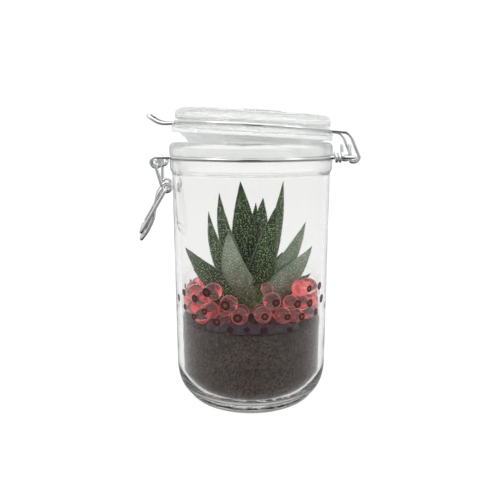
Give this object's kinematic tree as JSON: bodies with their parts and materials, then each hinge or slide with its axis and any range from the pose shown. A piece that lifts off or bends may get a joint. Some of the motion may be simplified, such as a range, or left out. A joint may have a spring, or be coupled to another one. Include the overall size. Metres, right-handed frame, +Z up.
{
  "type": "glass plant terrarium",
  "caption": "Clip-top glass jar with a wire-hinged lid and latch, holding a speckled rosette plant in dark soil under red gel beads.",
  "frame": {"origin": "centre of the jar's flat base, on the surface it stands on", "axes": "+Z up along the jar's axis, +X towards the hinge, -X towards the latch, -Y the front that the picture shows"},
  "size_m": [0.1416, 0.1028, 0.1858],
  "materials": {
    "glass": "clear pressed glass",
    "seal": "translucent natural silicone",
    "wire": "bright drawn steel wire",
    "soil": "matt, crumbly",
    "gel": "wet, clear red",
    "leaf": "waxy, speckled",
    "stem": "waxy"
  },
  "bodies": {
    "jar": {"jar": "glass", "neck_band": "wire", "soil": "soil", "gel_beads": "gel", "crown": "stem", "leaf_01": "leaf", "leaf_02": "leaf", "leaf_03": "leaf", "leaf_04": "leaf", "leaf_05": "leaf", "leaf_06": "leaf", "leaf_07": "leaf", "leaf_08": "leaf", "leaf_09": "leaf", "leaf_10": "leaf", "leaf_11": "leaf", "leaf_12": "leaf", "leaf_13": "leaf", "leaf_14": "leaf", "leaf_15": "leaf", "leaf_16": "leaf", "leaf_17": "leaf", "leaf_18": "leaf", "leaf_19": "leaf"},
    "lid": {"lid": "glass", "seal_ring": "seal", "lid_band": "wire"},
    "lever": {"lever": "wire"},
    "latch": {"latch_loop": "wire"}
  },
  "joints": [
    {"name": "lid_hinge", "type": "hinge", "parent": "jar", "child": "lid", "pos_m": [0.0633, 0, 0.1562], "axis": [0, 1, 0], "range_deg": [-3.2, 120]},
    {"name": "lever_pivot", "type": "hinge", "parent": "jar", "child": "lever", "pos_m": [-0.059, 0, 0.1535], "axis": [0, 1, 0], "range_deg": [0, 90]},
    {"name": "latch_swing", "type": "hinge", "parent": "lever", "child": "latch", "pos_m": [-0.0544, 0, 0.1378], "axis": [-0.1532, 0.9882, 0], "range_deg": [0, 80]}
  ]
}
